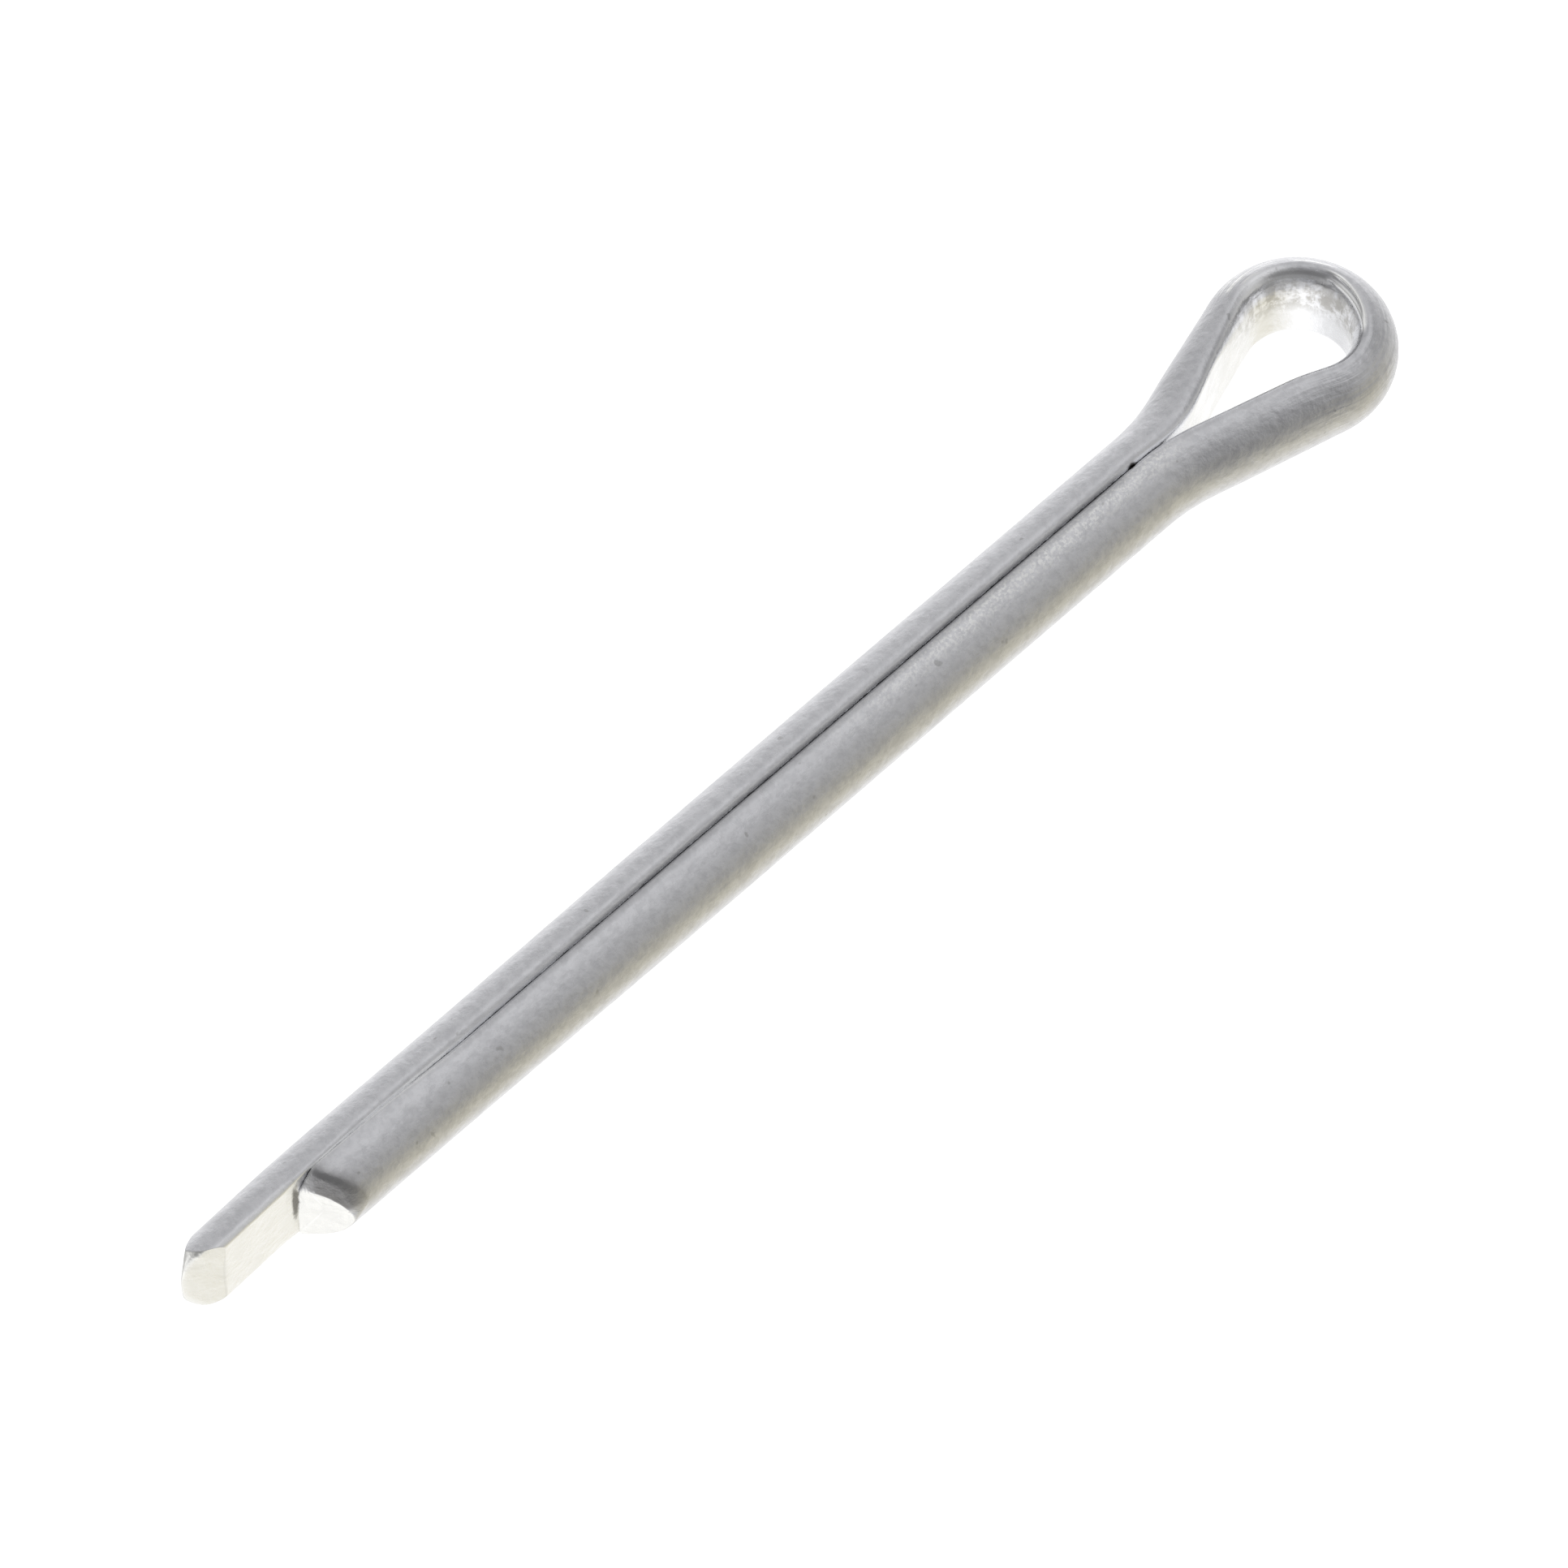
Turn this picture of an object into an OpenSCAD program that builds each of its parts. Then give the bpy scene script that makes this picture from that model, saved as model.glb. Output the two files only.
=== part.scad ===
// Cotter pin (split pin), nominal size 4 x 40 mm: one length of half-round
// wire folded flat side to flat side, with an eye at the fold, one short
// leg and one long leg. It lies as on a table, with the eye's plane level.
// Origin: on the shank's axis, right under the eye. +X runs to the eye,
// +Y to the long leg, +Z up.

/* [Wire] */
// Diameter over both legs, halfway along the short one
shank_d = 3.5; // [3.2:0.05:3.8]
// Radius on the wire's two edges, between its flat and its round side
edge_r = 0.35; // [0.15:0.05:0.45]

/* [Legs] */
// Short leg, from under the eye to the end of its flat side
short_leg_l = 40; // [20:1:60]
// How far the long leg's flat side ends past the short one's
long_leg_extra = 3.5; // [1:0.1:6]
// Width of the slit between the legs, under the eye
slit_at_eye = 0.19; // [0.12:0.01:0.3]
// Width of the slit between the legs, at the short leg's end
slit_at_tip = 0.03; // [0.02:0.01:0.1]

/* [Eye] */
// Width inside the eye
eye_inner_w = 3.6; // [3:0.1:5]
// From under the eye to the middle of its round end
eye_centre_x = 8.14; // [7:0.1:12]
// Radius of the flat side where the legs part into the eye
shoulder_r = 9.2; // [6:0.2:12]
// Where the short leg's side starts to part
short_shoulder_x = 0.2; // [0:0.1:1]
// Where the long leg's side starts to part
long_shoulder_x = 0.64; // [0:0.1:1]

/* [Tips] */
// Slant of the short leg's cut end, from square
short_cut_angle = 34; // [0:1:45]
// How far down the shears rolled the short leg's end, on its flat side
short_roll_depth = 0.75; // [0.2:0.05:1.2]
// How far that rolled part leans back from the cut end
short_roll_angle = 18; // [5:1:45]
// How steeply its lower edge falls towards the round side
short_roll_slope = 30; // [10:1:40]
// Slant of the bevel on the long leg's flat side, from square
long_bevel_angle = 67; // [45:1:70]
// Slant of the bevel on the long leg's round side, from square
long_back_angle = 62; // [45:1:70]
// Thickness of wire left between the two bevels' edges, at the end of the flat
long_back_depth = 1.5; // [1:0.05:1.65]
// Radius on the long leg's end, seen from the side
long_end_r = 2.6; // [2:0.1:6]

/* [Hidden] */
$fn = 96;

shank_r = shank_d / 2;
mean_slit = (slit_at_eye + slit_at_tip) / 2;
// The legs lean together a little, so that the slit closes towards the tips
leg_lean = atan((slit_at_eye - slit_at_tip) / 2 / short_leg_l);
// The flat lies this far out from the centre of the wire's round side
flat_offset = mean_slit / 2;
eye_r = eye_inner_w / 2;

// Centre of the edge rounding, which touches both the flat and the round side
edge_z = sqrt(pow(shank_r - edge_r, 2) - pow(edge_r + flat_offset, 2));
edge_angle = atan2(edge_z, edge_r + flat_offset);
edge_end = [edge_r + edge_r * cos(edge_angle), edge_z + edge_r * sin(edge_angle)];
wire_top = edge_z + edge_r;
reach = 2 * shank_d;
// Each straight run reaches this far into the runs it meets, so that they join
overlap = 0.000001;

// The long leg's two bevels meet at this depth, and this far past its flat
wedge_depth = long_back_depth * tan(long_back_angle)
    / (tan(long_bevel_angle) + tan(long_back_angle));
wedge_l = wedge_depth * tan(long_bevel_angle);

// The wire's section: flat side on the Y axis, round side towards +X
module wire_section() {
    intersection() {
        translate([-flat_offset, 0]) circle(r = shank_r);
        translate([edge_end[0], -reach / 2]) square(reach);
    }
    polygon([
        [0, edge_z], [edge_r, edge_z], edge_end,
        [edge_end[0], -edge_end[1]], [edge_r, -edge_z], [0, -edge_z]
    ]);
    for (side = [-1, 1])
        translate([edge_r, side * edge_z]) circle(r = edge_r);
}

// A straight run of wire along X, its flat side on the plane y = 0
module straight_wire(length) {
    rotate([90, 0, 90]) linear_extrude(length) wire_section();
}

// Everything past a plane across the wire's end
module beyond() {
    translate([-2 * reach, -reach, -reach])
        cube(2 * reach);
}

// One side of the pin, from its tip to the middle of the eye's round end
module half_pin(shoulder_x, leg_l) {
    start = [shoulder_x, slit_at_eye / 2];
    bend = start + shoulder_r * [-sin(leg_lean), cos(leg_lean)];
    // The flank is the line that touches the shoulder's circle and the eye's
    span = [eye_centre_x, 0] - bend;
    radii = shoulder_r + eye_r;
    flank_l = sqrt(span * span - radii * radii);
    flank_angle = atan2(span[1], span[0]) + atan2(radii, flank_l);
    flank_start = bend + shoulder_r * [sin(flank_angle), -cos(flank_angle)];

    translate(start) rotate(leg_lean)
        translate([-leg_l, 0, 0]) straight_wire(leg_l + overlap);
    translate(bend) rotate(leg_lean - 90)
        rotate_extrude(angle = flank_angle - leg_lean)
        translate([shoulder_r, 0]) mirror([1, 0]) wire_section();
    translate(flank_start) rotate(flank_angle)
        translate([-overlap, 0, 0]) straight_wire(flank_l + 2 * overlap);
    translate([eye_centre_x, 0]) rotate_extrude(angle = 90 + flank_angle)
        translate([eye_r, 0]) wire_section();
}

module short_side() {
    difference() {
        half_pin(short_shoulder_x, short_leg_l + reach);
        translate([-short_leg_l, 0, 0]) rotate(-short_cut_angle) {
            beyond();
            translate([0, 0, wire_top - short_roll_depth])
                rotate([-short_roll_slope, 0, 0]) rotate([0, short_roll_angle, 0])
                beyond();
        }
    }
}

// Seen from the side, the long leg's end is an arc
module round_end() {
    translate([long_end_r, reach, 0]) rotate([90, 0, 0])
        linear_extrude(2 * reach) {
            circle(r = long_end_r);
            translate([0, -long_end_r]) square([reach, 2 * long_end_r]);
        }
}

module long_side() {
    flat_end = short_leg_l + long_leg_extra;
    difference() {
        half_pin(long_shoulder_x, flat_end + reach);
        translate([-flat_end, 0, 0]) rotate(long_bevel_angle) beyond();
        translate([-flat_end, long_back_depth, 0]) rotate(-long_back_angle) beyond();
        difference() {
            translate([-flat_end, 0, 0]) beyond();
            translate([-flat_end - wedge_l, 0, 0]) round_end();
        }
    }
}

module cotter_pin() {
    color([0.72, 0.73, 0.75]) {
        long_side();
        mirror([0, 1, 0]) short_side();
    }
}

cotter_pin();
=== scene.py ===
import math
import bpy
import numpy as np
from mathutils import Matrix, Vector


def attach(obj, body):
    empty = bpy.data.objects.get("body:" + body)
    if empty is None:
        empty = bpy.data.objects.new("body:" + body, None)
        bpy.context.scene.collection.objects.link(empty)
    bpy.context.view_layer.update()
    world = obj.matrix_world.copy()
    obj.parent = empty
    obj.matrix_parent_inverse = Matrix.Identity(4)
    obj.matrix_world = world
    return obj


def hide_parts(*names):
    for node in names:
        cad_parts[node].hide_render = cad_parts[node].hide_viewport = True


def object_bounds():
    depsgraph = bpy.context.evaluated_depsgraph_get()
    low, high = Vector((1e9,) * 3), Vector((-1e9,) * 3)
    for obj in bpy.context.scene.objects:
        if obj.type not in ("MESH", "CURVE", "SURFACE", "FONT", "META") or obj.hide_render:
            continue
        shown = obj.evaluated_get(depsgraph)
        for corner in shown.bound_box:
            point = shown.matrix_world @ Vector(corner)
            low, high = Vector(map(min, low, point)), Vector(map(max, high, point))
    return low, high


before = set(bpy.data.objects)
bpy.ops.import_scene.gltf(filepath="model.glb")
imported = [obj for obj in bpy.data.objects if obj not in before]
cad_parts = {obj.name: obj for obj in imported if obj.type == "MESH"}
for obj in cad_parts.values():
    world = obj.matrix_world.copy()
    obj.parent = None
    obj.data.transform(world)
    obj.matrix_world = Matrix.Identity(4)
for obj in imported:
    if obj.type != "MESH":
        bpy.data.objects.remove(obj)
cadLow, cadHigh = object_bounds()
mm = 0.001
mapLength = 100.0    # mm along the wire that the wire's own map counts as 1
print("pin: the CAD frame is in")

# The wire and its fold, in mm. x is 0 under the eye and falls towards the tips. A place
# along the wire is its length from the short leg's tip, round the eye, to the long one's
pin = {
    "shankRadius": 1.75,            # round side of the wire
    "flatOffset": 0.055,            # the flat lies this far out from the round side's centre
    "shortLeg": 40.0,               # under the eye to the end of the flat
    "longLeg": 43.5,
    "shortShoulder": 0.2,           # x where each leg starts to part
    "longShoulder": 0.64,
    "shoulderRadius": 9.2,
    "eyeCentre": 8.14,              # x of the round end's centre
    "eyeRadius": 1.845,             # inside the round end
    "eyeThinning": 0.94,            # the wire's depth round the eye, against the legs'
    "thinPast": 1.0,                # fully thin this far past the start of the round end

    # rounding between the flat and the round side: depth, height
    "edge": [0.35, 0.35],
    "tipEdge": [0.15, 0.15],        # at the tips, which the shears pressed flush
    "tipEdgeTo": [3.5, 8.0],        # gone between these lengths from the end
    "bareEdge": [0.26, 0.24],       # on the long tip, past the short leg's end
    "bareEdgeTo": [2.7, 3.6],
    "eyeEdge": [0.62, 1.2],         # the upper edge round the eye, where the bend drew it out
    "eyeEdgeFrom": [-1.6, 1.6],     # grows between these, from the start of the round end
    "longEdgeFrom": [-3.4, 1.0],    # and on the long leg's side

    # half the slit's width, from the tips up to the eye: x, then widths
    "slitPlaces": [-46, -38.5, -35.5, -31, -20, 0],
    "slitHalves": [0.002, 0.002, 0.004, 0.007, 0.01, 0.012],
    # x where it starts, x where it ends, and how much
    "slimLegs": [-20, -34, 0.03],   # the legs are thinner from there on, by this share
    "lean": [-36.5, -45, -0.17],    # the long leg's end leans in
    "swell": [0.2, 5.6, 0.2],       # the long leg's shoulder is thicker on its flat side

    # two ridges and a crease that the bend pressed into the eye's inner upper edge: height,
    # place over the edge (0 at the flat, 1 at the round side), how much that place curves,
    # the curve's middle, start and end along the wire
    "ridges": [[0.07, 0.57, 0.05, 50.9, 49.4, 51.9],
               [0.07, 0.655, 0.014, 48.5, 49.4, 52.1],
               [-0.01, 0.6, 0.0, 53.0, 51.6, 54.0]],
    "ridgeWidth": 0.05,
    "ridgeGrow": 0.5,               # a ridge rises over this length
    "ridgeFade": 0.8,               # and fades out over this one
    # painted highlight along the ridges, and painted shade in the crease
    "ridgeShine": 1.4,
    "creaseShade": 0.35,

    # painted sheen on the flat, standing in for the table's reflection, reaches over its
    # edges: depths where it is full and gone
    "flatSheenTo": [0.01, 0.16],
    "flatSheenEyeTo": [0.16, 0.38],   # how much deeper each one is on the eye's far side
    "farSideFrom": [1.0, 2.3],      # that side starts, and is full, past the eye's middle
    # share of the second one's gain on the eye's near side, and on the long tip, past the
    # short leg's end
    "flatSheenNear": 0.3,
    "flatSheenBare": 0.5,
    "bentReach": 4.5,               # the bend marks the wire this far from the eye's middle
    "sheenDip": [1.8, 1.7, 0.1],        # less painted sheen in the eye: how far past the middle, how wide, how much
    "flatEdge": 0.2,                # the flat's own marks end at this depth over its edges
    "legChange": 0.5,               # a mark changes from leg to leg over twice this length

    # rubbed band, wear flecks with a painted highlight along the short leg's top: start, full,
    # fading and gone along the wire, then its middle and width round the outline, from the
    # flat's upper edge
    "rubbedHighlight": [22, 32, 40.5, 42.5, 0.7, 0.45],
    # painted shade along the slit: how deep it reaches over the short leg's edge and the long
    # leg's, and how dense it is
    "slitShade": [0.46, 0.12, 0.5],
    "slitShadeLip": [0.02, 0.03],   # it thins from this depth on, and fills up to this one
    "slitShadeFrom": [-36.0, -24.0],    # x where it starts and is full
    "slitShadeEnd": [-1.2, 0.4],    # x where it is still full and gone, at the eye
    # the same edges get a painted highlight towards the tips: x where that starts and is full,
    # and how bright. It is gone this far past the short leg's end, and full this far before it
    "slitHighlight": [-31.0, -35.0, 0.7],
    "slitHighlightEnd": [0.1, 0.5],
    # painted shade on the short leg's rolled end
    "rolledShade": 0.3,             # how far it reaches back along the wire
    "rolledShadeUp": [0.0, 0.45],   # heights where it starts and is full
    "rolledShadeIn": [0.4, 0.5],    # depth where it is whole, and how much less at the flat
    "upperDark": [1.5, -0.3],           # heights on the eye's inner side, full and gone

    # points round the outline, and rings on each end
    "flatPoints": 16,
    "edgePoints": 56,
    "roundPoints": 52,
    "lowEdgePoints": 14,
    "rimRings": 5,
    "faceRings": 44,
    "ringSpacing": 0.04,            # between those rings, on the wire's own map
    "faceMiddle": 0.46,             # the rings close here, as a share of the wire's depth
    "rimGrows": [0.35, 0.9],        # the rim widens between these shares of the upper height
    # distance between outlines along the wire
    "tipStep": 0.06,
    "tipLength": 3.0,
    "legStep": 0.3,
    "eyeStep": 0.12,
    "eyeStepFrom": 1.0,             # it starts this far before a leg parts from the other
    # points that the path and the edges are first worked out on
    "pathSamples": 40001,
    "edgeSamples": 4001,
}
# the sheared end of the short leg
shortCut = {
    "angle": 34.0,                  # from square
    "rollDepth": 0.73,              # how far down the shears rolled it
    "rollBack": 0.34,               # and how far back, at the top
    "rollPower": 1.2,               # 1 is a straight slope
    "rollEdge": 0.04,               # softness of its lower edge
    "rough": 0.035,
    "roughSize": 0.9,
    "rim": 0.035,                   # radius round the cut
    "rolledRim": 0.2,               # and along the rolled side
    "cornerBack": 0.25,             # the corner beside the slit is rolled back more
    "cornerWidth": 0.3,
    "topShade": 0.55,               # painted shade at the top of the rolled face, against its foot
    "seed": 5,
}
# the wedge on the long leg's end
longCut = {
    "bevel": 67.0,                  # slant of the inner bevel, from square
    "back": 62.0,                   # and of the outer one
    "backDepth": 1.5,               # wire left between them at the end of the flat
    "endRadius": 2.15,              # seen from the side
    "soft": 0.06,                   # rounding where they meet, and where the end's arc does
    "arcSoft": 0.3,
    "rough": 0.02,
    "roughSize": 1.1,
    "rim": 0.06,
    "rolledRim": 0.012,
    "seed": 8,
}


def smoothStep(start, full, x):
    # 0 at start, 1 at full: t = (x - start) / (full - start), kept from 0 to 1, 3t^2 - 2t^3
    t = np.clip((x - start) / (full - start), 0, 1)
    return t * t * (3 - 2 * t)


def smoothMax(a, b, soft):
    # (a + b + root((a - b)^2 + soft^2)) / 2: the larger one, with a rounded corner
    return (a + b + np.sqrt((a - b) ** 2 + soft ** 2)) / 2


def ripple(u, v, seed, size, octaves=3, waves=7, weaker=1.8, spread=0.3):
    # a sum of octaves, each the mean of some sine waves that run in random directions. The
    # first one's are about as long as the size, and each next one's half as long, and weaker
    rng = np.random.default_rng(seed)
    total = u * 0.0
    for octave in range(octaves):
        for _ in range(waves):
            turn, phase = rng.uniform(0, 2 * math.pi, 2)
            wave = 2 * math.pi / size * 2 ** octave * rng.uniform(1 - spread, 1 + spread)
            total = total + np.sin(
                wave * (u * math.cos(turn) + v * math.sin(turn)) + phase) / weaker ** octave
    return total / waves


def edgeEllipse(p, edge):
    # an edge is part of an ellipse, (a + a cos t, middle + b sin t), from the flat at t = pi
    # to where its normal and the round side's are the same. Gives that t, the normal's angle
    # there, and the ellipse's middle height
    radius, offset = p["shankRadius"], p["flatOffset"]
    a, b = edge
    t = np.linspace(math.pi, 0, p["edgeSamples"])
    normal = np.arctan2(np.sin(t) / b, np.cos(t) / a)
    apart = radius * np.cos(normal) - offset - a - a * np.cos(t)
    end = np.interp(0, apart, t)
    turn = math.atan2(math.sin(end) / b, math.cos(end) / a)
    return end, turn, radius * math.sin(turn) - b * math.sin(end)


def wireOutline(p, topEdge, lowEdge):
    # closed outline (depth, height): up the flat, over the top edge, down the round side,
    # (radius cos t - offset, radius sin t), and round the low edge
    radius, offset = p["shankRadius"], p["flatOffset"]
    topEnd, topTurn, topMiddle = edgeEllipse(p, topEdge)
    lowEnd, lowTurn, lowMiddle = edgeEllipse(p, lowEdge)
    flat = np.linspace(-lowMiddle, topMiddle, p["flatPoints"], endpoint=False)
    top = np.linspace(math.pi, topEnd, p["edgePoints"], endpoint=False)
    side = np.linspace(topTurn, -lowTurn, p["roundPoints"], endpoint=False)
    low = np.linspace(lowEnd, math.pi, p["lowEdgePoints"], endpoint=False)
    depth = np.concatenate([
        flat * 0, topEdge[0] * (1 + np.cos(top)), radius * np.cos(side) - offset,
        lowEdge[0] * (1 + np.cos(low))])
    height = np.concatenate([
        flat, topMiddle + topEdge[1] * np.sin(top), radius * np.sin(side),
        -lowMiddle - lowEdge[1] * np.sin(low)])
    return np.array([depth, height])


def sidePath(p, shoulderX, leg, edgeFrom):
    # one side's flat from its tip to the middle of the eye. The heading is constant on the
    # leg and the flank, and turns evenly with length on the shoulder and round the eye;
    # x and y are the running sums of its cosine and sine. The rest are shares: how thick the
    # wire is, how far its edge is the eye's, the tip's or the bare tip's, and how slim it is
    startY = p["slitHalves"][-1]
    bend = np.array([shoulderX, startY + p["shoulderRadius"]])
    span = np.array([p["eyeCentre"], 0]) - bend
    radii = p["shoulderRadius"] + p["eyeRadius"]
    flank = math.sqrt(span @ span - radii ** 2)
    slope = math.atan2(span[1], span[0]) + math.atan2(radii, flank)
    ends = np.cumsum([0, leg + shoulderX, p["shoulderRadius"] * slope, flank,
                      p["eyeRadius"] * (slope + math.pi / 2)])
    _, shoulder, flankStart, eyeStart, eyeMiddle = ends
    s = np.linspace(0, eyeMiddle, p["pathSamples"])
    heading = np.interp(s, ends, [0, 0, slope, slope, -math.pi / 2])
    middle, step = (heading[1:] + heading[:-1]) / 2, s[1]
    x = np.concatenate([[0], np.cumsum(np.cos(middle) * step)]) - leg
    y = np.concatenate([[0], np.cumsum(np.sin(middle) * step)]) + startY
    fullTip, noTip = p["tipEdgeTo"]
    fullBare, noBare = p["bareEdgeTo"]
    slimFrom, slimTo, slimShare = p["slimLegs"]
    rows = {
        "x": x,
        "y": y + np.interp(x, p["slitPlaces"], p["slitHalves"]) - startY,
        "heading": heading,
        "along": s,
        "thick": 1 - (1 - p["eyeThinning"]) * smoothStep(
            flankStart, eyeStart + p["thinPast"], s),
        "eyeEdge": smoothStep(eyeStart + edgeFrom[0], eyeStart + edgeFrom[1], s),
        "tipEdge": smoothStep(noTip, fullTip, s),
        "bareEdge": smoothStep(noBare, fullBare, s),
        "slim": 1 - slimShare * smoothStep(slimFrom, slimTo, x),
    }
    legEnd = shoulder - p["eyeStepFrom"]
    stations = np.concatenate([
        np.arange(0, p["tipLength"], p["tipStep"]),
        np.arange(p["tipLength"], legEnd, p["legStep"]),
        np.linspace(legEnd, eyeMiddle, int((eyeMiddle - legEnd) / p["eyeStep"]))])
    return {name: np.interp(stations, s, values) for name, values in rows.items()}


def wirePath(p):
    # both sides end to end, from the short leg's tip round the eye to the long one's, with
    # the direction from the flat to the round side: (-sin heading, cos heading), mirrored on
    # the short side. The lean is amount * smoothStep^2, and the swell a hump, amount * sin^2.
    # Gives the length to the eye's middle too
    short = sidePath(p, p["shortShoulder"], p["shortLeg"], p["eyeEdgeFrom"])
    long = sidePath(p, p["longShoulder"], p["longLeg"], p["longEdgeFrom"])
    short["bareEdge"] *= 0    # the short leg's tip isn't bare
    start, full, amount = p["lean"]
    long["y"] += amount * smoothStep(start, full, long["x"]) ** 2
    start, stop, amount = p["swell"]
    swell = amount * np.sin(math.pi * np.clip((long["x"] - start) / (stop - start), 0, 1)) ** 2
    long["y"] -= swell
    long["thick"] += swell / (p["shankRadius"] - p["flatOffset"])
    eye = short["along"][-1]
    long["along"] = eye + long["along"][-1] - long["along"]
    # both end at the eye's middle, so the long side's last row is left out
    wire = {name: np.concatenate([short[name], long[name][-2::-1]]) for name in short}
    side = np.where(np.arange(len(wire["x"])) < len(short["x"]), -1, 1)
    wire["y"] *= side
    wire["outX"] = -np.sin(wire["heading"])
    wire["outY"] = side * np.cos(wire["heading"])
    return wire, eye


def sweepWire(p, wire, outlines):
    # place = path + outward * depth, at the outline's height. The outline is the legs' own,
    # plus each other one's difference times its share
    leg, eye, tip, bare = (outline[:, None, :] for outline in outlines)
    rows = {name: values[:, None] for name, values in wire.items()}
    depth, height = (leg + (eye - leg) * rows["eyeEdge"] + (tip - leg) * rows["tipEdge"]
                     + (bare - tip) * rows["bareEdge"])
    away = rows["thick"] * rows["slim"] * depth
    return np.stack([rows["x"] + rows["outX"] * away, rows["y"] + rows["outY"] * away,
                     rows["slim"] * height], axis=-1)


def pressRidges(p, wire, points, eyeOutline):
    # moves the points out along the edge's own normal by height e^-(off / width)^2, off being
    # how far over the edge a point is from the ridge's curve, place + curve (along -
    # middle)^2. Gives the ridges above 0, where a highlight is painted, and the crease below,
    # where shade is painted
    depth, height = eyeOutline
    first, last = p["flatPoints"], p["flatPoints"] + p["edgePoints"]
    over = np.full(len(depth), np.inf)
    over[first:last] = np.linspace(0, 1, p["edgePoints"], endpoint=False)
    normal = np.array([-np.gradient(height), np.gradient(depth)])
    normal = normal / np.hypot(*normal)
    along, outX, outY = (wire[name][:, None] for name in ("along", "outX", "outY"))
    crest = points[:, :, 0] * 0
    for rise, place, curve, middle, start, stop in p["ridges"]:
        off = over - place - curve * (along - middle) ** 2
        share = np.exp(-(off / p["ridgeWidth"]) ** 2) * (
            smoothStep(start, start + p["ridgeGrow"], along)
            * smoothStep(stop, stop - p["ridgeFade"], along))
        points[:, :, 0] += outX * share * rise * normal[0]
        points[:, :, 1] += outY * share * rise * normal[0]
        points[:, :, 2] += share * rise * normal[1]
        crest += p["ridgeShine"] * share * np.sign(rise)
    return crest


def upperHeight(p, depth, height):
    # the upper outline's height at each depth
    first = p["flatPoints"]
    upper = slice(first, first + p["edgePoints"] + p["roundPoints"] // 2)
    return lambda d: np.interp(d, depth[upper], height[upper])


def shortEnd(depth, height, top):
    # x of the sheared end: a plane, and above the roll's lower edge a face that leans back by
    # (height over that edge)^power. Then how far it is rolled, and how much painted shade it
    # gets
    c = shortCut
    below = (top(depth) - height) / c["rollDepth"]
    rolled = smoothStep(1 + c["rollEdge"], 1 - c["rollEdge"], below)
    back = (c["rollBack"] + c["cornerBack"] * np.exp(-(depth / c["cornerWidth"]) ** 2)) * (
        np.clip(1 - below, 0, 1) ** c["rollPower"])
    rough = c["rough"] * ripple(depth, height, c["seed"], c["roughSize"]) * (1 - rolled)
    x = depth * math.tan(math.radians(c["angle"])) + back + rough - pin["shortLeg"]
    return x, rolled, rolled * (c["topShade"] + (1 - c["topShade"]) * np.clip(below, 0, 1))


def longEnd(depth, height, top):
    # x of the wedge: the largest of two slanted planes and an arc seen from the side. It isn't
    # rolled, so it gets no painted shade either
    c = longCut
    inner, outer = math.tan(math.radians(c["bevel"])), math.tan(math.radians(c["back"]))
    wedge = c["backDepth"] * outer / (inner + outer) * inner
    x = smoothMax(-depth * inner, (depth - c["backDepth"]) * outer, c["soft"])
    arc = c["endRadius"] - np.sqrt(c["endRadius"] ** 2 - height ** 2) - wedge
    rough = c["rough"] * ripple(depth, height, c["seed"], c["roughSize"])
    return smoothMax(x, arc, c["arcSoft"]) + rough - pin["longLeg"], x * 0, x * 0


def buildEnd(p, wire, points, outline, cut, shape, leg, side):
    # draws the last outlines out to the cut, evenly over the tip's length. The face is rings
    # that close in on its middle: the first ones go round the rim on a quarter circle,
    # (radius (1 - cos t), radius (1 - sin t)), and the rest are spaced evenly
    rows = np.arange(len(wire["x"]))[::-side]    # from this end's tip
    depth, height = outline * wire["slim"][rows[0]]
    top = upperHeight(p, depth, height)
    rim = shape["rim"] + (shape["rolledRim"] - shape["rim"]) * smoothStep(
        *p["rimGrows"], height / top(depth))
    tip = rows[:len(np.arange(0, p["tipLength"], p["tipStep"]))]
    t = ((wire["x"][tip] + leg) / p["tipLength"])[:, None]
    endX = cut(depth, height, top)[0] + rim
    points[tip, :, 0] = endX * (1 - t) + (p["tipLength"] - leg) * t
    middle = np.array([depth.max() * p["faceMiddle"], 0])
    reach = np.hypot(depth - middle[0], height - middle[1])
    t = np.linspace(0, math.pi / 2, p["rimRings"] + 1)[1:, None]
    inset = np.concatenate([
        rim * (1 - np.cos(t)),
        rim + (reach - rim) * np.linspace(0, 1, p["faceRings"] + 1)[1:-1, None]])
    drop = np.concatenate([rim * (1 - np.sin(t)), np.zeros((p["faceRings"] - 1, len(depth)))])
    share = inset / reach
    ringDepth = depth + (middle[0] - depth) * share
    ringHeight = height + (middle[1] - height) * share
    ringX, rolled, endShade = cut(ringDepth, ringHeight, top)
    y = wire["y"][rows[0]]
    rings = np.stack([ringX + drop, y + side * ringDepth, ringHeight], axis=-1)
    centre = [cut(middle[:1], middle[1:], top)[0][0], y + side * middle[0], 0]
    return rings, centre, smoothStep(0, 1, inset / rim) * (1 - rolled), endShade


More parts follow.
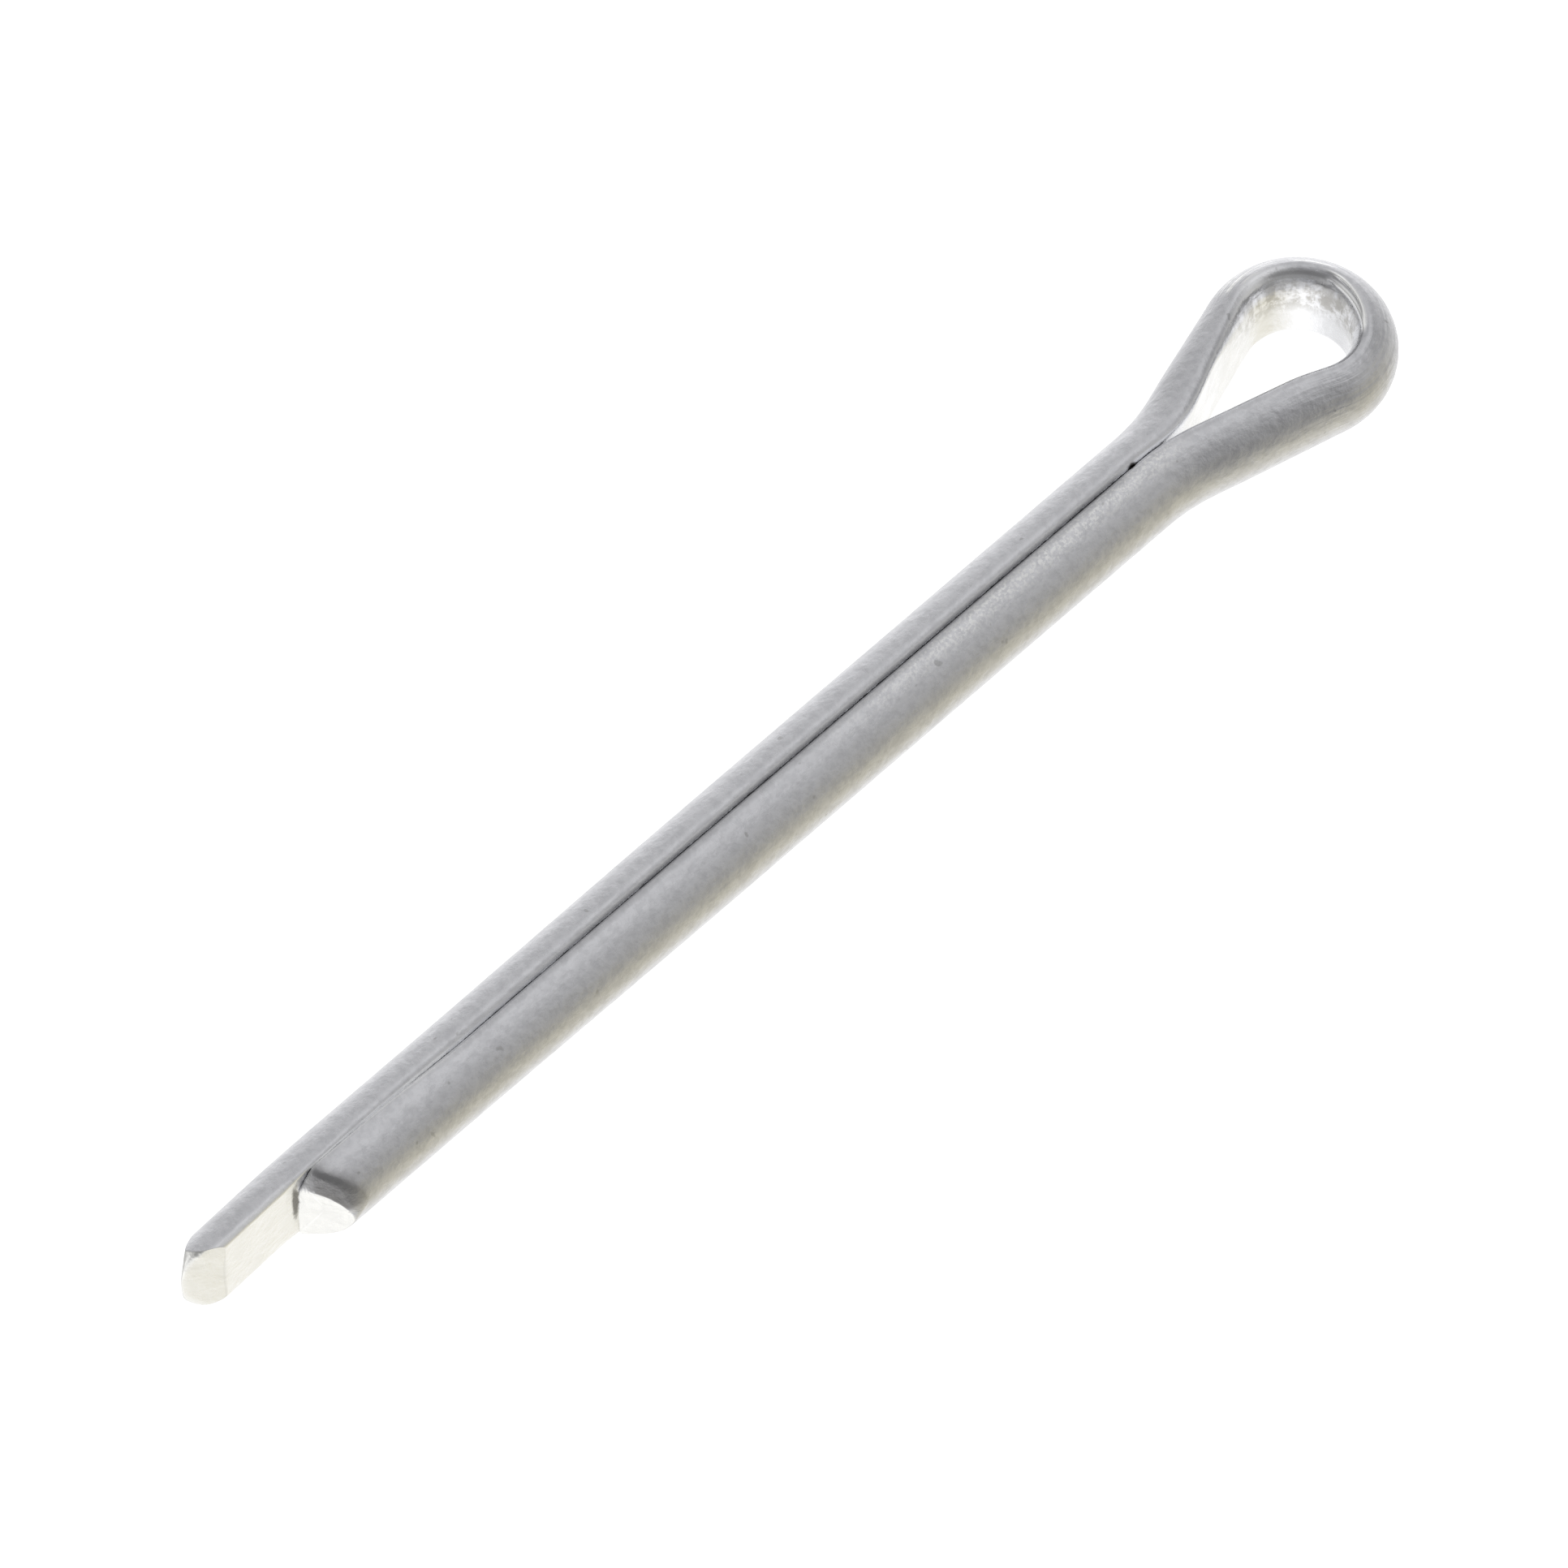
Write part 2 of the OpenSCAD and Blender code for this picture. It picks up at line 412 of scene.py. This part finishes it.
def pinMarks(p, grid, along, around, outlines, eye, cutFace, crest, endShade):
    # where the zinc shows what, from 0 to 1: products of soft steps along the wire and round
    # its outline. The bend is e^-((length - eye) / reach)^4, and the dip in the painted sheen
    # and the rubbed band with its painted highlight are e^-(off / width)^2
    (depth, height), _, (tipDepth, tipHeight), _ = outlines
    x = grid[:, :, 0]
    length = along[:, None]
    bent = np.exp(-((length - eye) / p["bentReach"]) ** 4)
    onFlat = smoothStep(p["flatEdge"], 0, depth)

    # painted sheen on the flat, standing in for the table's reflection: wider round the eye's
    # far side and on the bare tip, and less of it in the eye
    change = p["legChange"]
    bareTip = smoothStep(2 * eye - change, 2 * eye + change, length)
    farStart, farFull = p["farSideFrom"]
    farSide = smoothStep(eye + farStart, eye + farFull, length)
    wide = np.maximum(bent * (p["flatSheenNear"] + (1 - p["flatSheenNear"]) * farSide),
                      p["flatSheenBare"] * bareTip)
    # the painted sheen's reach over the flat's edges
    full, gone = p["flatSheenTo"]
    eyeFull, eyeGone = p["flatSheenEyeTo"]
    past, width, amount = p["sheenDip"]
    flatSheen = smoothStep(gone + eyeGone * wide, full + eyeFull * bent * farSide, depth) * (
        1 - cutFace) * (1 - amount * np.exp(-((length - eye - past) / width) ** 2))

    # wear flecks with a painted highlight on the short leg's top, beside the slit
    start, full, fading, gone, middle, width = p["rubbedHighlight"]
    rubbedHighlight = np.exp(-((around[:-1] - around[p["flatPoints"]] - middle) / width) ** 2) * (
        smoothStep(start, full, length) * smoothStep(gone, fading, length))

    # painted shade on the slit's edges towards the eye, and a painted highlight on them
    # towards the tips
    shortReach, longReach, dense = p["slitShade"]
    reach = shortReach + (longReach - shortReach) * smoothStep(
        eye - change, eye + change, length)
    thins, full = p["slitShadeLip"]
    edges = smoothStep(reach, thins, depth) * smoothStep(0, full, depth)
    full, gone = p["slitShadeEnd"]
    shade = dense * edges * smoothStep(*p["slitShadeFrom"], x) * smoothStep(gone, full, x)
    # painted highlight on the slit's edges towards the tips
    start, full, bright = p["slitHighlight"]
    past, before = p["slitHighlightEnd"]
    slitGlint = bright * edges * smoothStep(start, full, x) * smoothStep(
        -p["shortLeg"] - past, before - p["shortLeg"], x)

    # painted shade on the rolled end and, dying away as e^-(length / reach), on the wire
    # behind it
    ends = len(endShade)
    whole, less = p["rolledShadeIn"]
    rolledUp = smoothStep(*p["rolledShadeUp"], tipHeight) * (
        1 - less * smoothStep(whole, 0, tipDepth))
    shade[:ends] = endShade[::-1] * rolledUp
    behind = np.exp(-(length[ends:] - length[ends]) / p["rolledShade"]) * shortCut["topShade"]
    shade[ends:] = np.maximum(shade[ends:], rolledUp * behind)
    shade[-ends:] = 0
    # painted shade in the crease
    shade = np.maximum(shade, np.clip(-crest, 0, 1) * p["creaseShade"])

    # darker towards the top of the eye's inner side
    high, low = p["upperDark"]
    return {
        "cutFace": cutFace,
        "flatSheen": flatSheen,
        "bent": bent,
        "rubbedHighlight": rubbedHighlight,
        "shade": shade,
        "upperDark": smoothStep(low, high, height) * onFlat * bent,
        "onFlat": onFlat,
        # painted highlight on the ridges and on the slit's edges near the tips
        "crest": np.maximum(np.clip(crest, 0, 1), slitGlint),
    }


def gridMesh(name, grid, centres, along, around):
    # quads between neighbouring outlines, and a fan of triangles on each end's centre, in
    # the order that turns them outwards. The wire's own map is (length along the wire,
    # distance round its outline), over the map's length
    total, count = grid.shape[:2]
    vertices = np.concatenate([grid.reshape(-1, 3), centres]) * mm
    i, j = np.meshgrid(np.arange(total - 1), np.arange(count), indexing="ij")
    nextJ = (j + 1) % count
    quads = np.stack([i * count + j, i * count + nextJ,
                      (i + 1) * count + nextJ, (i + 1) * count + j], axis=-1)
    quadMap = np.stack([
        np.stack([along[i], around[j]], -1), np.stack([along[i], around[j + 1]], -1),
        np.stack([along[i + 1], around[j + 1]], -1), np.stack([along[i + 1], around[j]], -1)],
        axis=2)
    j = np.arange(count)
    nextJ = (j + 1) % count
    last, centre = (total - 1) * count, total * count
    fans = np.concatenate([
        np.stack([j, np.full(count, centre), nextJ], axis=-1),
        np.stack([last + j, last + nextJ, np.full(count, centre + 1)], axis=-1)])
    fanMap = np.concatenate([
        np.stack([np.full((count, 3), along[0]),
                  np.stack([around[j], around[j], around[j + 1]], -1)], -1),
        np.stack([np.full((count, 3), along[-1]),
                  np.stack([around[j], around[j + 1], around[j]], -1)], -1)])
    mesh = bpy.data.meshes.new(name)
    mesh.from_pydata(vertices.tolist(), [], quads.reshape(-1, 4).tolist() + fans.tolist())
    mesh.polygons.foreach_set("use_smooth", np.ones(len(mesh.polygons), bool))
    places = np.concatenate([quadMap.reshape(-1, 2), fanMap.reshape(-1, 2)]) / mapLength
    mesh.uv_layers.new(name="alongWire").data.foreach_set("uv", places.ravel())
    return mesh


def buildPin(p):
    # outlines carried along the wire, ridges pressed in, a face on each end, then the marks
    outlines = [wireOutline(p, p["edge"], p["edge"]), wireOutline(p, p["eyeEdge"], p["edge"]),
                wireOutline(p, p["tipEdge"], p["tipEdge"]),
                wireOutline(p, p["bareEdge"], p["bareEdge"])]
    legOutline, eyeOutline, tipOutline, bareOutline = outlines
    wire, eye = wirePath(p)
    points = sweepWire(p, wire, outlines)
    crest = pressRidges(p, wire, points, eyeOutline)
    shortRings, shortCentre, shortFace, endShade = buildEnd(
        p, wire, points, tipOutline, shortEnd, shortCut, p["shortLeg"], -1)
    longRings, longCentre, longFace, _ = buildEnd(
        p, wire, points, bareOutline, longEnd, longCut, p["longLeg"], 1)
    # one long grid of outlines: the short end's rings inside out, the wire, the long end's
    grid = np.concatenate([shortRings[::-1], points, longRings])
    cutFace = np.concatenate([shortFace[::-1], crest * 0, longFace])
    crest = np.concatenate([shortFace * 0, crest, longFace * 0])
    off = np.arange(1, len(longRings) + 1) * p["ringSpacing"]
    along = np.concatenate([wire["along"][0] - off[::-1], wire["along"],
                            wire["along"][-1] + off])
    closed = np.append(legOutline, legOutline[:, :1], axis=1)
    around = np.concatenate([[0], np.cumsum(np.hypot(*np.diff(closed, axis=1)))])
    marks = pinMarks(p, grid, along, around, outlines, eye, cutFace, crest, endShade)
    mesh = gridMesh("cotterPin", grid, [shortCentre, longCentre], along, around)
    for name, values in marks.items():
        onCentres = [float(name == "cutFace")] * 2
        values = np.append(np.broadcast_to(values, grid.shape[:2]).ravel(), onCentres)
        mark = mesh.attributes.new(name, "FLOAT", "POINT")
        mark.data.foreach_set("value", values.astype(np.float32))
    mesh.update()
    return mesh


pinObject = bpy.data.objects.new("cotterPin", buildPin(pin))
bpy.context.scene.collection.objects.link(pinObject)
print("pin: mesh built,", len(pinObject.data.polygons), "faces")

# the zinc plating. Sizes and heights are in mm. A range is the noise values that a mask
# grows between
zinc = {
    "tint": (0.672, 0.674, 0.70, 1),
    "dullTint": (0.605, 0.607, 0.632, 1),       # in the grain's darker flecks
    "flatSheenTint": (0.96, 0.965, 0.985, 1),     # painted sheen on the flat inner side, standing in for the table's reflection
    "cutTint": (0.86, 0.857, 0.835, 1),         # on the sheared ends
    "rubbedHighlightTint": (0.80, 0.80, 0.80, 1),        # flecks on the rubbed band: wear, and a painted highlight
    "highlightAndScratchTint": (0.99, 0.99, 0.98, 1),         # painted highlight along the ridges and on the slit's edges near the tips, and the real scratches
    "shadeTint": (0.22, 0.215, 0.213, 1),       # painted shade in the slit, on the rolled end, in the crease and in the dark spots
    "upperDarkTint": (0.55, 0.54, 0.52, 1),         # darker and mottled towards the top of the eye's inner side
    "upperDarkRange": (0.4, 0.58),
    "roughness": 0.27,
    "roughnessSpread": 0.08,
    "grainSize": 0.3, "grainHeight": 0.018, "grainRough": 0.62, "grainRange": (0.35, 0.6),
    "mottleSize": 0.8, "mottleHeight": 0.03, "mottleRange": (0.3, 0.7),
    "fleckSize": 0.12, "fleckRange": (0.42, 0.66),      # on the rubbed band
    # pits in the plating, and where their noise is moved to
    "pitSize": 0.45, "pitRange": (0.27, 0.22), "pitTint": (0.5, 0.5, 0.51, 1),
    "pitShift": (7, 3, 0),
    # drawn lines along the wire, plain on the legs and stronger round the eye
    "lineLength": 3.0, "lineWidth": 0.16, "lineHeight": 0.003, "eyeLineHeight": 0.032,
    # wrinkles across the wire on the eye's inner side
    "wrinkleLength": 0.35, "wrinkleWidth": 1.2, "wrinkleHeight": 0.03,
    # dark spots in the shade tint: place in mm, stretch along each axis, radius. The first is
    # where the legs part; the second is a painted shadow in the gap between the short leg's
    # end and the long leg's flat
    "darkSpots": [((-0.02, -0.05, 1.42), (1, 1, 1), 0.17),
              ((-40.13, 0.02, 0.45), (1, 1, 6), 0.17)],
    # scratched places: length along the wire and distance round it, stretch, radius
    "scratched": [((53.9, 3.75, 0), (1.6, 1, 1), 0.5), ((52.3, 3.4, 0), (2.0, 1, 1), 0.22)],
    "scratchRange": (0.48, 0.6),
    "ragged": (1.8, 1.1),           # spots are gone and whole here, in radii, grain added
}


def connect(tree, socket, value):
    # gives a socket its value: another node's output, or a plain number or colour
    if isinstance(value, bpy.types.NodeSocket):
        tree.links.new(value, socket)
    else:
        socket.default_value = value


def mathIn(tree):
    # gives a function that adds one Math node to this tree
    def calculate(operation, a, b):
        node = tree.nodes.new("ShaderNodeMath")
        node.operation = operation
        connect(tree, node.inputs[0], a)
        connect(tree, node.inputs[1], b)
        return node.outputs[0]
    return calculate


def zincMaterial(z):
    # mm = object coordinates x 1000. Grain, mottle, drawn lines and wrinkles are noise
    # heights, one bump after another. The colour starts as the grain's two tints, and each
    # mark then mixes its own tint in
    material = bpy.data.materials.new("zincPlate")
    material.use_nodes = True
    tree = material.node_tree
    shader = tree.nodes["Principled BSDF"]
    shader.inputs["Metallic"].default_value = 1
    calculate = mathIn(tree)

    def noise(vector, size, detail, rough=0.55):
        # patches about as large as the size
        node = tree.nodes.new("ShaderNodeTexNoise")
        node.inputs["Scale"].default_value = 1 / size
        node.inputs["Detail"].default_value = detail
        node.inputs["Roughness"].default_value = rough
        connect(tree, node.inputs["Vector"], vector)
        return node.outputs["Fac"]

    def scaled(vector, scale, place=(0, 0, 0)):
        node = tree.nodes.new("ShaderNodeMapping")
        node.inputs["Scale"].default_value = scale
        node.inputs["Location"].default_value = place
        connect(tree, node.inputs["Vector"], vector)
        return node.outputs["Vector"]

    def ramped(value, low, high, toLow=0.0, toHigh=1.0):
        # a soft step from toLow, where the value is low, to toHigh
        node = tree.nodes.new("ShaderNodeMapRange")
        node.interpolation_type = "SMOOTHSTEP"
        for name, number in (("Value", value), ("From Min", low), ("From Max", high),
                             ("To Min", toLow), ("To Max", toHigh)):
            connect(tree, node.inputs[name], number)
        return node.outputs["Result"]

    def mixed(factor, a, b):
        # a (1 - factor) + b factor
        node = tree.nodes.new("ShaderNodeMix")
        node.data_type = "RGBA"
        for name, value in (("Factor", factor), ("A", a), ("B", b)):
            connect(tree, node.inputs[name], value)
        return node.outputs["Result"]

    def mark(name):
        node = tree.nodes.new("ShaderNodeAttribute")
        node.attribute_name = name
        return node.outputs["Fac"]

    def bumped(height, distance, normal=None):
        node = tree.nodes.new("ShaderNodeBump")
        node.inputs["Distance"].default_value = distance * mm
        connect(tree, node.inputs["Height"], height)
        if normal:
            connect(tree, node.inputs["Normal"], normal)
        return node.outputs["Normal"]

    coordinates = tree.nodes.new("ShaderNodeTexCoord")
    inMm = scaled(coordinates.outputs["Object"], [1 / mm] * 3)
    wireMap = coordinates.outputs["UV"]

    def alongWire(length, width, detail):
        # noise stretched over the wire's own map
        return noise(scaled(wireMap, (mapLength / length, mapLength / width, 1)), 1.0, detail)

    def near(vector, place, stretch, radius):
        # a spot: 1 near the place and 0 away from it, stretched, with a ragged edge
        shrink = [1 / value for value in stretch]
        away = tree.nodes.new("ShaderNodeVectorMath")
        away.operation = "DISTANCE"
        connect(tree, away.inputs[0], scaled(vector, shrink))
        connect(tree, away.inputs[1], [a * b for a, b in zip(place, shrink)])
        off = calculate("ADD", away.outputs["Value"], calculate("MULTIPLY", grain, radius))
        gone, whole = z["ragged"]
        return ramped(off, radius * gone, radius * whole)

    grain = noise(inMm, z["grainSize"], detail=3, rough=z["grainRough"])
    mottle = noise(inMm, z["mottleSize"], detail=3)
    flecks = noise(inMm, z["fleckSize"], detail=1)
    pitNoise = noise(scaled(inMm, (1, 1, 1), z["pitShift"]), z["pitSize"], detail=1)
    drawn = alongWire(z["lineLength"], z["lineWidth"], detail=2)
    wrinkle = alongWire(z["wrinkleLength"], z["wrinkleWidth"], detail=3)
    flatSheen, cutFace, bent = mark("flatSheen"), mark("cutFace"), mark("bent")

    # heights: where the wire is bent, the drawn lines are stronger outside, and it is
    # wrinkled inside
    bentInside = calculate("MULTIPLY", bent, ramped(mark("onFlat"), 0.0, 1.0))
    bentOutside = calculate("SUBTRACT", bent, bentInside)
    stronger = calculate("MULTIPLY", bentOutside, z["eyeLineHeight"] / z["lineHeight"])
    drawnHeight = calculate("MULTIPLY", drawn, calculate("ADD", stronger, 1.0))
    normal = bumped(grain, z["grainHeight"])
    normal = bumped(mottle, z["mottleHeight"], normal)
    normal = bumped(drawnHeight, z["lineHeight"], normal)
    normal = bumped(calculate("MULTIPLY", wrinkle, bentInside), z["wrinkleHeight"], normal)
    connect(tree, shader.inputs["Normal"], normal)

    # colours: pits only where there is no painted sheen and no cut, and scratches only in
    # spots
    # wear flecks, with a painted highlight, on the rubbed band
    rubbedHighlight = calculate("MULTIPLY", mark("rubbedHighlight"), ramped(flecks, *z["fleckRange"]))
    uneven = calculate("ADD", calculate("MULTIPLY", grain, 0.5),
                       calculate("MULTIPLY", wrinkle, 0.5))    # the two's mean
    # darker and mottled towards the top of the eye's inner side
    upperDark = calculate("MULTIPLY", mark("upperDark"), ramped(uneven, *z["upperDarkRange"]))
    unsheened = calculate("SUBTRACT", 1.0, calculate("MAXIMUM", flatSheen, cutFace))
    pits = calculate("MULTIPLY", ramped(pitNoise, *z["pitRange"]), unsheened)
    scratches = ramped(drawn, *z["scratchRange"])
    scratchMap = scaled(wireMap, [mapLength] * 3)
    color = mixed(ramped(grain, *z["grainRange"]), z["dullTint"], z["tint"])
    # among these, the flat's sheen and the ridges' highlight are painted light, the rubbed
    # band is wear with a painted highlight, and the shade tint is painted shade
    for share, tint in (
            (flatSheen, "flatSheenTint"), (cutFace, "cutTint"), (rubbedHighlight, "rubbedHighlightTint"),
            (mark("crest"), "highlightAndScratchTint"), (upperDark, "upperDarkTint"), (mark("shade"), "shadeTint"),
            (pits, "pitTint"),
            *((near(inMm, *nick), "shadeTint") for nick in z["darkSpots"]),
            *((calculate("MULTIPLY", near(scratchMap, *spot), scratches), "highlightAndScratchTint")
              for spot in z["scratched"])):
        color = mixed(share, color, z[tint])
    connect(tree, shader.inputs["Base Color"], color)
    half = z["roughnessSpread"] / 2
    connect(tree, shader.inputs["Roughness"], ramped(
        mottle, *z["mottleRange"], z["roughness"] + half, z["roughness"] - half))
    return material


pinObject.data.materials.append(zincMaterial(zinc))
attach(pinObject, "root")
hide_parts("cotter_pin")
print("pin: zinc on")

# the table. Neither its light nor its mirror image reaches the pin: the light all round,
# further down, already holds a white table
stage = {
    "size": 4.0,                    # in metres
    "color": (0.9, 0.9, 0.89, 1),
    "roughness": 0.9,
    "glow": 0.8,
}


def buildTable(s):
    # one flat square under the pin's lowest point
    half, z = s["size"] / 2, cadLow.z
    mesh = bpy.data.meshes.new("table")
    mesh.from_pydata([(-half, -half, z), (half, -half, z), (half, half, z), (-half, half, z)],
                     [], [(0, 1, 2, 3)])
    material = bpy.data.materials.new("paleTable")
    material.use_nodes = True
    shader = material.node_tree.nodes["Principled BSDF"]
    for name, value in (("Base Color", s["color"]), ("Roughness", s["roughness"]),
                        ("Specular IOR Level", 0.0), ("Emission Color", (1, 1, 1, 1)),
                        ("Emission Strength", s["glow"])):
        shader.inputs[name].default_value = value
    mesh.materials.append(material)
    table = bpy.data.objects.new("table", mesh)
    bpy.context.scene.collection.objects.link(table)
    table.visible_glossy = False
    table.visible_diffuse = False


# the camera
shot = {
    "lens": 462.0,
    "sensor": 36,
    "target": (-16.80, 0.146, 0.0),       # in mm
    "distance": 0.6726,                   # in metres
    "farClip": 10,
    "back": (-0.4042, -0.3903, 0.8272),   # from the pin to the camera
    "right": (0.6946, -0.7194, 0.0),
}


def buildCamera(s):
    # place = target + distance * back, and the frame's columns are right, up and back
    camera = bpy.data.objects.new("camera", bpy.data.cameras.new("camera"))
    bpy.context.scene.collection.objects.link(camera)
    camera.data.lens = s["lens"]
    camera.data.sensor_width = s["sensor"]
    camera.data.clip_end = s["farClip"]
    back, right = Vector(s["back"]).normalized(), Vector(s["right"]).normalized()
    place = Vector(s["target"]) * mm + back * s["distance"]
    turn = Matrix((right, back.cross(right), back)).transposed()
    camera.matrix_world = Matrix.Translation(place) @ turn.to_4x4()
    bpy.context.scene.camera = camera


# the light all round: an even dome over a white table, dim on the side of the camera
studio = {
    "level": 0.62,                  # at the height of the table
    "overhead": 0.9,
    "tableGain": 0.51,              # straight down, above the level
    "tablePower": 1.7,
    "darkest": 0.3,
    # soft patches: where they are, in degrees round and up, how narrow, and how strong
    "patches": [(-131, 23, 4.5, -0.66), (44, -14, 8.0, 0.73), (-145, -40, 7.5, 0.45),
                (168, 18, 1.3, -0.6), (156, -3, 9.0, 0.9), (-32, 62, 14.0, 0.2),
                (25, -56, 10.0, 0.2), (-18, 34, 12.0, -0.3), (-160, -8, 6.0, 0.6)],
    "warmSide": (-64, -31, 5.5),
    "warmTint": (1.0, 0.955, 0.78, 1),
}


def buildLight(s):
    # light from direction d = level + (overhead - level) up + tableGain down^tablePower
    # + the sum of strength e^(narrow (d . centre - 1)) over the patches, and never darker
    # than darkest. The warm side is one more patch, which mixes in the warm tint
    world = bpy.data.worlds.new("studio")
    bpy.context.scene.world = world
    world.use_nodes = True
    tree = world.node_tree
    calculate = mathIn(tree)
    direction = tree.nodes.new("ShaderNodeTexCoord").outputs["Generated"]
    split = tree.nodes.new("ShaderNodeSeparateXYZ")
    connect(tree, split.inputs[0], direction)
    up = calculate("MAXIMUM", split.outputs["Z"], 0.0)
    down = calculate("MULTIPLY", split.outputs["Z"], -1.0)
    down = calculate("MAXIMUM", down, 0.0001)    # keeps the power's base above 0

    def softPatch(around, above, narrow):
        a, e = math.radians(around), math.radians(above)
        dot = tree.nodes.new("ShaderNodeVectorMath")
        dot.operation = "DOT_PRODUCT"
        connect(tree, dot.inputs[0], direction)
        connect(tree, dot.inputs[1],
                (math.cos(e) * math.cos(a), math.cos(e) * math.sin(a), math.sin(e)))
        off = calculate("SUBTRACT", dot.outputs["Value"], 1.0)
        return calculate("POWER", math.e, calculate("MULTIPLY", off, narrow))

    total = calculate("MULTIPLY", up, s["overhead"] - s["level"])
    total = calculate("ADD", total, s["level"])
    below = calculate("MULTIPLY", calculate("POWER", down, s["tablePower"]), s["tableGain"])
    total = calculate("ADD", total, below)
    for around, above, narrow, strength in s["patches"]:
        patch = calculate("MULTIPLY", softPatch(around, above, narrow), strength)
        total = calculate("ADD", total, patch)
    total = calculate("MAXIMUM", total, s["darkest"])
    tint = tree.nodes.new("ShaderNodeMix")
    tint.data_type = "RGBA"
    for name, value in (("Factor", softPatch(*s["warmSide"])), ("A", (1, 1, 1, 1)),
                        ("B", s["warmTint"])):
        connect(tree, tint.inputs[name], value)
    background = tree.nodes["Background"]
    connect(tree, background.inputs["Color"], tint.outputs["Result"])
    connect(tree, background.inputs["Strength"], total)


buildTable(stage)
buildCamera(shot)
buildLight(studio)
bpy.context.scene.view_settings.view_transform = "Standard"
print("pin: table, light and camera set")
